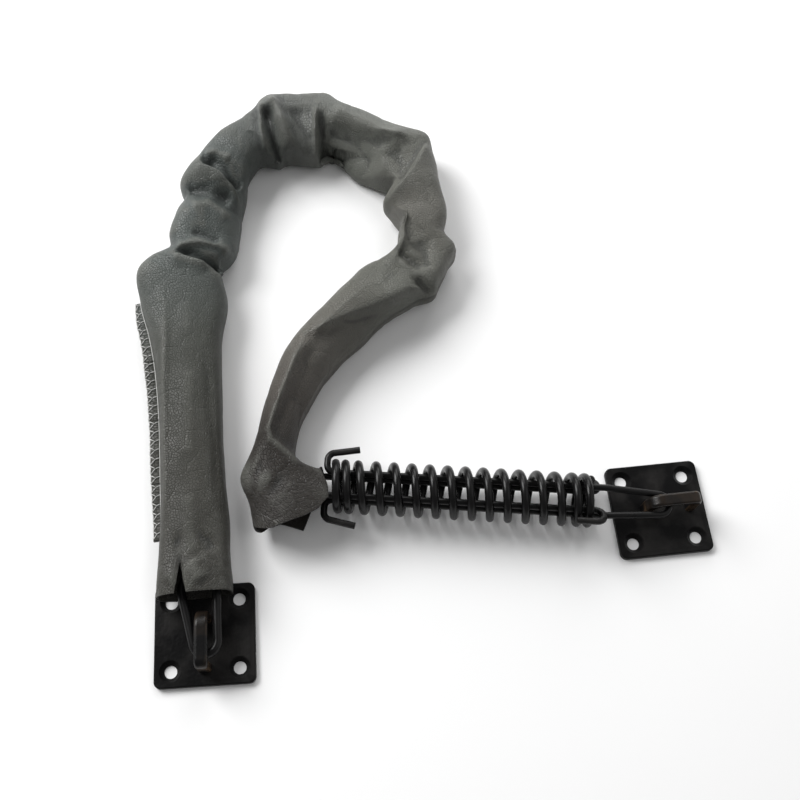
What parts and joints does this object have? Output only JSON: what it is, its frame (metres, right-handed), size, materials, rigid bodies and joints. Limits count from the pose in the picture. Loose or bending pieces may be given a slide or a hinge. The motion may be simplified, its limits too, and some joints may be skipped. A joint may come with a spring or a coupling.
{
  "type": "storm door chain",
  "caption": "Door chain in a vinyl sleeve with a compression check spring on two drawbars and a square screw plate with an eye at each end.",
  "frame": {"origin": "centre of the left plate's hole pattern, on its back face", "axes": "+X along the left plate's rows towards the spring, +Y from the left plate towards the chain, +Z away from the surface that both plates lie on"},
  "size_m": [0.2378, 0.2756, 0.0242],
  "materials": {
    "plate_coat": "textured black powder coat",
    "eye_coat": "black coat, rubbed to the metal on the bends",
    "end_link_coat": "satin black coat",
    "chain_coat": "satin black coat",
    "bar_coat": "satin black coat",
    "spring_coat": "satin black coat",
    "sleeve_vinyl": "matt grey grained vinyl",
    "seam_thread": "light grey sewing thread"
  },
  "bodies": {
    "left_plate": {"left_plate": "plate_coat", "left_eye": "eye_coat"},
    "end_link": {"end_link": "end_link_coat"},
    "chain_link_01": {"chain_link_01": "chain_coat"},
    "chain_link_02": {"chain_link_02": "chain_coat"},
    "chain_link_03": {"chain_link_03": "chain_coat"},
    "chain_link_04": {"chain_link_04": "chain_coat"},
    "chain_link_05": {"chain_link_05": "chain_coat"},
    "chain_link_06": {"chain_link_06": "chain_coat"},
    "chain_link_07": {"chain_link_07": "chain_coat"},
    "chain_link_08": {"chain_link_08": "chain_coat", "sleeve": "sleeve_vinyl"},
    "chain_link_09": {"chain_link_09": "chain_coat"},
    "chain_link_10": {"chain_link_10": "chain_coat"},
    "chain_link_11": {"chain_link_11": "chain_coat"},
    "chain_link_12": {"chain_link_12": "chain_coat"},
    "chain_link_13": {"chain_link_13": "chain_coat"},
    "chain_link_14": {"chain_link_14": "chain_coat"},
    "chain_link_15": {"chain_link_15": "chain_coat"},
    "chain_link_16": {"chain_link_16": "chain_coat"},
    "chain_link_17": {"chain_link_17": "chain_coat"},
    "left_drawbar": {"left_drawbar": "bar_coat", "spring": "spring_coat"},
    "right_drawbar": {"right_drawbar": "bar_coat"},
    "right_plate": {"right_plate": "plate_coat", "right_eye": "eye_coat"}
  },
  "joints": [
    {"name": "end_link_swing", "type": "hinge", "parent": "left_plate", "child": "end_link", "pos_m": [0, 0.006, 0.0113], "axis": [0, 0, 1], "range_deg": [-40, 40]},
    {"name": "link_01_hinge", "type": "hinge", "parent": "end_link", "child": "chain_link_01", "pos_m": [-0.00345, 0.01789, 0.0113], "axis": [0, 0, 1], "range_deg": [0, 5]},
    {"name": "link_02_hinge", "type": "hinge", "parent": "chain_link_01", "child": "chain_link_02", "pos_m": [-0.00456, 0.04947, 0.0113], "axis": [0, 0, 1], "range_deg": [0, 1]},
    {"name": "link_03_hinge", "type": "hinge", "parent": "chain_link_02", "child": "chain_link_03", "pos_m": [-0.00497, 0.07327, 0.0113], "axis": [0, 0, 1], "range_deg": [0, 1]},
    {"name": "link_04_hinge", "type": "hinge", "parent": "chain_link_03", "child": "chain_link_04", "pos_m": [-0.00497, 0.10487, 0.0113], "axis": [0, 0, 1], "range_deg": [-2, 0]},
    {"name": "link_05_hinge", "type": "hinge", "parent": "chain_link_04", "child": "chain_link_05", "pos_m": [-0.0058, 0.12865, 0.0113], "axis": [0, 0, 1], "range_deg": [0, 4]},
    {"name": "link_06_hinge", "type": "hinge", "parent": "chain_link_05", "child": "chain_link_06", "pos_m": [-0.0047, 0.16023, 0.0113], "axis": [0, 0, 1], "range_deg": [0, 10]},
    {"name": "link_07_hinge", "type": "hinge", "parent": "chain_link_06", "child": "chain_link_07", "pos_m": [0.00025, 0.18351, 0.0113], "axis": [0, 0, 1], "range_deg": [0, 6]},
    {"name": "link_08_hinge", "type": "hinge", "parent": "chain_link_07", "child": "chain_link_08", "pos_m": [0.01001, 0.21357, 0.0113], "axis": [0, 0, 1], "range_deg": [0, 23], "deforming": ["sleeve"]},
    {"name": "link_09_hinge", "type": "hinge", "parent": "chain_link_08", "child": "chain_link_09", "pos_m": [0.02563, 0.23153, 0.0113], "axis": [0, 0, 1], "range_deg": [0, 42]},
    {"name": "link_10_hinge", "type": "hinge", "parent": "chain_link_09", "child": "chain_link_10", "pos_m": [0.05699, 0.23538, 0.0113], "axis": [0, 0, 1], "range_deg": [0, 32]},
    {"name": "link_11_hinge", "type": "hinge", "parent": "chain_link_10", "child": "chain_link_11", "pos_m": [0.07856, 0.22532, 0.0113], "axis": [0, 0, 1], "range_deg": [0, 28]},
    {"name": "link_12_hinge", "type": "hinge", "parent": "chain_link_11", "child": "chain_link_12", "pos_m": [0.09758, 0.20008, 0.0113], "axis": [0, 0, 1], "range_deg": [0, 31]},
    {"name": "link_13_hinge", "type": "hinge", "parent": "chain_link_12", "child": "chain_link_13", "pos_m": [0.10007, 0.17641, 0.0113], "axis": [0, 0, 1], "range_deg": [0, 34]},
    {"name": "link_14_hinge", "type": "hinge", "parent": "chain_link_13", "child": "chain_link_14", "pos_m": [0.08523, 0.14851, 0.0113], "axis": [0, 0, 1], "range_deg": [0, 24]},
    {"name": "link_15_hinge", "type": "hinge", "parent": "chain_link_14", "child": "chain_link_15", "pos_m": [0.06648, 0.13386, 0.0113], "axis": [0, 0, 1], "range_deg": [-9, 0]},
    {"name": "link_16_hinge", "type": "hinge", "parent": "chain_link_15", "child": "chain_link_16", "pos_m": [0.04493, 0.11075, 0.0113], "axis": [0, 0, 1], "range_deg": [-16, 0]},
    {"name": "link_17_hinge", "type": "hinge", "parent": "chain_link_16", "child": "chain_link_17", "pos_m": [0.03412, 0.08954, 0.0113], "axis": [0, 0, 1], "range_deg": [-15, 0]},
    {"name": "left_drawbar_hinge", "type": "hinge", "parent": "chain_link_17", "child": "left_drawbar", "pos_m": [0.02755, 0.05863, 0.0113], "axis": [0, 0, 1], "range_deg": [-95.3, 0]},
    {"name": "spring_stroke", "type": "slide", "parent": "left_drawbar", "child": "right_drawbar", "axis": [0.9932, -0.1167, 0], "range_m": [0, 0.045], "stiffness_N_per_m": 1200, "deforming": ["spring"]},
    {"name": "right_plate_swing", "type": "hinge", "parent": "right_drawbar", "child": "right_plate", "pos_m": [0.18418, 0.04023, 0.0113], "axis": [0, 0, 1], "range_deg": [-35, 35]}
  ],
  "couplings": [
    {"joint": "link_01_hinge", "follows": "link_08_hinge", "ratio": 0.21739},
    {"joint": "link_02_hinge", "follows": "link_08_hinge", "ratio": 0.043478},
    {"joint": "link_03_hinge", "follows": "link_08_hinge", "ratio": 0.043478},
    {"joint": "link_04_hinge", "follows": "link_08_hinge", "ratio": -0.086957},
    {"joint": "link_05_hinge", "follows": "link_08_hinge", "ratio": 0.17391},
    {"joint": "link_06_hinge", "follows": "link_08_hinge", "ratio": 0.43478},
    {"joint": "link_07_hinge", "follows": "link_08_hinge", "ratio": 0.26087},
    {"joint": "link_09_hinge", "follows": "link_08_hinge", "ratio": 1.8261},
    {"joint": "link_10_hinge", "follows": "link_08_hinge", "ratio": 1.3913},
    {"joint": "link_11_hinge", "follows": "link_08_hinge", "ratio": 1.2174},
    {"joint": "link_12_hinge", "follows": "link_08_hinge", "ratio": 1.3478},
    {"joint": "link_13_hinge", "follows": "link_08_hinge", "ratio": 1.4783},
    {"joint": "link_14_hinge", "follows": "link_08_hinge", "ratio": 1.0435},
    {"joint": "link_15_hinge", "follows": "link_08_hinge", "ratio": -0.3913},
    {"joint": "link_16_hinge", "follows": "link_08_hinge", "ratio": -0.69565},
    {"joint": "link_17_hinge", "follows": "link_08_hinge", "ratio": -0.65217},
    {"joint": "left_drawbar_hinge", "follows": "link_08_hinge", "ratio": -4.1435}
  ]
}
